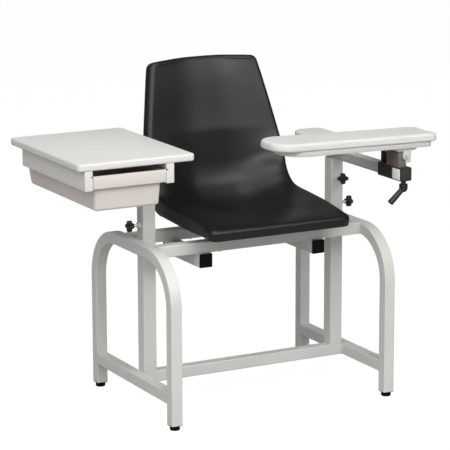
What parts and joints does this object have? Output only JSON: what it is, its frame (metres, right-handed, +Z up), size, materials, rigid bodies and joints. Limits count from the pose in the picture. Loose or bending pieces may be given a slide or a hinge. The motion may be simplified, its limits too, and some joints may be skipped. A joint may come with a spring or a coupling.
{
  "type": "phlebotomy chair",
  "caption": "Blood-drawing chair: arched tube frame, moulded seat shell, side table with drawer, and a sliding flip-up arm rest on a height-adjustable mast.",
  "frame": {"origin": "on the floor, under the middle of the whole chair's outline", "axes": "+Z up, the sitter faces -Y, +X points to the flip-up arm's post"},
  "size_m": [0.9801, 0.6498, 0.9094],
  "materials": {
    "frame_paint": "pale grey powder coat, slightly textured",
    "black_caps": "black moulded caps and glides",
    "seat_plastic": "black moulded polypropylene, fine grain",
    "zinc": "zinc-plated steel",
    "white_laminate": "off-white laminate",
    "drawer_plastic": "warm white moulded plastic",
    "knob_plastic": "black moulded plastic",
    "bare_tube": "bright plated tube",
    "dark_collar": "charcoal powder coat",
    "hinge_black": "black enamel",
    "pale_plate": "plain pale plate",
    "pale_bracket": "pale powder coat",
    "pad_vinyl": "off-white vinyl"
  },
  "bodies": {
    "frame": {"left_side_frame": "frame_paint", "right_side_frame": "frame_paint", "left_lower_rail": "frame_paint", "right_lower_rail": "frame_paint", "stretcher": "frame_paint", "front_cross_rail": "frame_paint", "rear_cross_rail": "frame_paint", "left_seat_rail": "frame_paint", "right_seat_rail": "frame_paint", "seat_rail_caps": "black_caps", "foot_glides": "black_caps", "left_post_sleeve": "frame_paint", "right_post_sleeve": "frame_paint", "weld_nuts": "frame_paint", "seat_shell": "seat_plastic", "seat_spacers": "black_caps", "seat_screws": "zinc"},
    "side_table": {"table_mast": "frame_paint", "table_plate": "frame_paint", "table_top": "white_laminate", "left_runner": "white_laminate", "right_runner": "white_laminate", "runner_screws": "zinc", "table_screws": "zinc"},
    "drawer": {"drawer_tray": "drawer_plastic"},
    "table_clamp": {"table_knob": "knob_plastic", "table_knob_stud": "zinc"},
    "arm_low_clamp": {"arm_low_knob": "knob_plastic", "arm_low_stud": "zinc"},
    "arm_high_clamp": {"arm_high_knob": "knob_plastic", "arm_high_stud": "zinc"},
    "arm_support": {"arm_mast": "frame_paint", "arm_rail": "bare_tube", "arm_rail_front_cap": "dark_collar", "arm_rail_rear_cap": "black_caps", "rear_arm_board": "white_laminate", "rear_arm_pad": "pad_vinyl", "rear_pad_screws": "zinc"},
    "collar": {"arm_collar": "dark_collar", "collar_plate": "pale_plate", "hinge_block": "hinge_black", "hinge_rear_ear": "hinge_black", "clamp_nut": "dark_collar"},
    "collar_clamp": {"clamp_stud": "zinc", "clamp_lever": "knob_plastic", "lever_screw": "zinc"},
    "flip_arm": {"flip_bracket": "pale_bracket", "hinge_pin": "zinc", "flip_arm_board": "white_laminate", "flip_arm_pad": "pad_vinyl", "bracket_screws": "zinc"}
  },
  "joints": [
    {"name": "table_height", "type": "slide", "parent": "frame", "child": "side_table", "axis": [0, 0, 1], "range_m": [-0.06, 0.09]},
    {"name": "drawer_slide", "type": "slide", "parent": "side_table", "child": "drawer", "axis": [0, -1, 0], "range_m": [0, 0.3]},
    {"name": "table_knob_turn", "type": "hinge", "parent": "frame", "child": "table_clamp", "pos_m": [-0.23305, 0.06439, 0.50575], "axis": [-1, 0, 0], "continuous": true},
    {"name": "arm_low_knob_turn", "type": "hinge", "parent": "frame", "child": "arm_low_clamp", "pos_m": [0.42695, 0.06439, 0.50575], "axis": [1, 0, 0], "continuous": true},
    {"name": "arm_high_knob_turn", "type": "hinge", "parent": "frame", "child": "arm_high_clamp", "pos_m": [0.38905, 0.02639, 0.58325], "axis": [0, -1, 0], "continuous": true},
    {"name": "arm_height", "type": "slide", "parent": "frame", "child": "arm_support", "axis": [0, 0, 1], "range_m": [0, 0.15]},
    {"name": "collar_slide", "type": "slide", "parent": "arm_support", "child": "collar", "axis": [0, 1, 0], "range_m": [0, 0.15]},
    {"name": "collar_lever_turn", "type": "hinge", "parent": "collar", "child": "collar_clamp", "pos_m": [0.38905, -0.29661, 0.6], "axis": [0, 0, 1], "range_deg": [-90, 90]},
    {"name": "flip_hinge", "type": "hinge", "parent": "collar", "child": "flip_arm", "pos_m": [0.39155, -0.26861, 0.69695], "axis": [0, 1, 0], "range_deg": [0, 88]}
  ]
}
